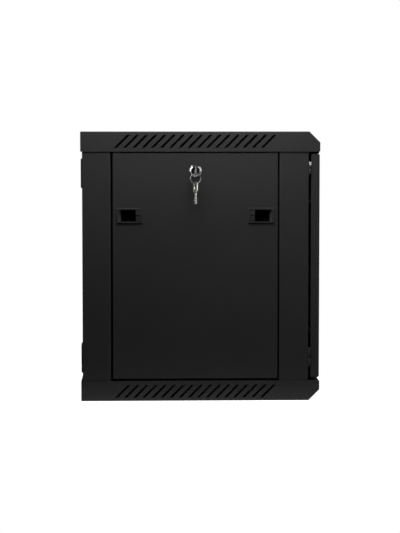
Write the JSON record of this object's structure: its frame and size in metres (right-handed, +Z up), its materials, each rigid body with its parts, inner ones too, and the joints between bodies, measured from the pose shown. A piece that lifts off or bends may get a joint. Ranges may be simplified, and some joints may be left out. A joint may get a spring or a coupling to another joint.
{
  "type": "wall mount network cabinet",
  "caption": "Wall mount 19 inch network cabinet: sheet steel frame with chamfered vented covers, glazed front door, lift-off side panels with cam locks and slide latches.",
  "frame": {"origin": "centre of the four wall fixing keyholes, on the wall plane: mid width, mid height", "axes": "+Y out of the back towards the wall, so the front faces -Y; +X to the right seen from the front; +Z up"},
  "size_m": [0.6254, 0.4455, 0.5],
  "materials": {
    "black_powder_coat": "fine textured satin black powder coat",
    "zinc_plate": "bright zinc plate",
    "chrome_bezel": "polished chrome plate",
    "dark_plug": "dark satin die casting",
    "black_plastic": "moulded black plastic, satin",
    "nickel_key": "nickel plate, worn bright",
    "smoked_glass": "smoked toughened glass",
    "black_rubber": "black rubber",
    "bonding_tape": "black foam bonding tape"
  },
  "bodies": {
    "frame": {"top_cover": "black_powder_coat", "bottom_cover": "black_powder_coat", "left_rear_post": "black_powder_coat", "right_rear_post": "black_powder_coat", "left_front_post": "black_powder_coat", "right_front_post": "black_powder_coat", "back_panel": "black_powder_coat", "rear_entry_trim": "black_rubber", "back_panel_screws": "zinc_plate", "frame_screws": "zinc_plate", "left_upper_brace": "black_powder_coat", "right_upper_brace": "black_powder_coat", "left_lower_brace": "black_powder_coat", "right_lower_brace": "black_powder_coat", "left_front_rail": "black_powder_coat", "right_front_rail": "black_powder_coat", "left_rear_rail": "black_powder_coat", "right_rear_rail": "black_powder_coat", "rail_bolts": "zinc_plate", "rail_nuts": "zinc_plate", "earth_stud": "zinc_plate", "earth_nuts": "zinc_plate", "door_bumpers": "black_rubber", "hinge_frame_leaves": "black_powder_coat", "hinge_frame_screws": "zinc_plate"},
    "door": {"door_frame": "black_powder_coat", "door_glass": "smoked_glass", "glass_tape": "bonding_tape", "door_lock_body": "chrome_bezel", "door_lock_nut": "zinc_plate", "hinge_door_leaves": "black_powder_coat", "hinge_door_screws": "zinc_plate", "hinge_pins": "nickel_key"},
    "door_lock": {"door_lock_plug": "dark_plug", "door_lock_cam": "zinc_plate", "door_lock_cam_screw": "zinc_plate"},
    "left_panel": {"left_side_panel": "black_powder_coat", "left_lock_body": "chrome_bezel", "left_lock_nut": "zinc_plate", "left_rear_latch_housing": "black_plastic", "left_front_latch_housing": "black_plastic"},
    "left_lock": {"left_lock_plug": "dark_plug", "left_lock_cam": "zinc_plate", "left_lock_cam_screw": "zinc_plate"},
    "left_rear_latch": {"left_rear_latch_slider": "black_plastic"},
    "left_front_latch": {"left_front_latch_slider": "black_plastic"},
    "right_panel": {"right_side_panel": "black_powder_coat", "right_lock_body": "chrome_bezel", "right_lock_nut": "zinc_plate", "right_rear_latch_housing": "black_plastic", "right_front_latch_housing": "black_plastic"},
    "right_lock": {"right_lock_plug": "dark_plug", "right_lock_cam": "zinc_plate", "right_lock_cam_screw": "zinc_plate"},
    "right_rear_latch": {"right_rear_latch_slider": "black_plastic"},
    "right_front_latch": {"right_front_latch_slider": "black_plastic"},
    "key": {"inserted_key": "nickel_key"},
    "ring": {"key_ring": "nickel_key"},
    "second_key": {"spare_key": "nickel_key"}
  },
  "joints": [
    {"name": "door_hinge", "type": "hinge", "parent": "frame", "child": "door", "pos_m": [-0.2973, -0.4245, 0], "axis": [0, 0, -1], "range_deg": [0, 120]},
    {"name": "door_lock_turn", "type": "hinge", "parent": "door", "child": "door_lock", "pos_m": [0.2685, -0.4425, 0], "axis": [0, 1, 0], "range_deg": [0, 90]},
    {"name": "left_panel_lift_off", "type": "slide", "parent": "frame", "child": "left_panel", "axis": [-1, 0, 0], "range_m": [0, 0.12]},
    {"name": "left_lock_turn", "type": "hinge", "parent": "left_panel", "child": "left_lock", "pos_m": [-0.2985, -0.21215, 0.1772], "axis": [1, 0, 0], "range_deg": [0, 90]},
    {"name": "left_rear_latch_slide", "type": "slide", "parent": "left_panel", "child": "left_rear_latch", "axis": [0, 1, 0], "range_m": [0, 0.0075]},
    {"name": "left_front_latch_slide", "type": "slide", "parent": "left_panel", "child": "left_front_latch", "axis": [0, -1, 0], "range_m": [0, 0.0075]},
    {"name": "right_panel_lift_off", "type": "slide", "parent": "frame", "child": "right_panel", "axis": [1, 0, 0], "range_m": [0, 0.12]},
    {"name": "right_lock_turn", "type": "hinge", "parent": "right_panel", "child": "right_lock", "pos_m": [0.2985, -0.21215, 0.1772], "axis": [1, 0, 0], "range_deg": [0, 90]},
    {"name": "right_rear_latch_slide", "type": "slide", "parent": "right_panel", "child": "right_rear_latch", "axis": [0, 1, 0], "range_m": [0, 0.0075]},
    {"name": "right_front_latch_slide", "type": "slide", "parent": "right_panel", "child": "right_front_latch", "axis": [0, -1, 0], "range_m": [0, 0.0075]},
    {"name": "key_pull", "type": "slide", "parent": "left_lock", "child": "key", "axis": [-1, 0, 0], "range_m": [0, 0.03]},
    {"name": "ring_swing", "type": "hinge", "parent": "key", "child": "ring", "pos_m": [-0.3134, -0.21215, 0.17272], "axis": [0, 1, 0], "range_deg": [-5, 80]},
    {"name": "second_key_swing", "type": "hinge", "parent": "ring", "child": "second_key", "pos_m": [-0.3134, -0.21215, 0.15402], "axis": [0, 1, 0], "range_deg": [-10, 60]}
  ]
}
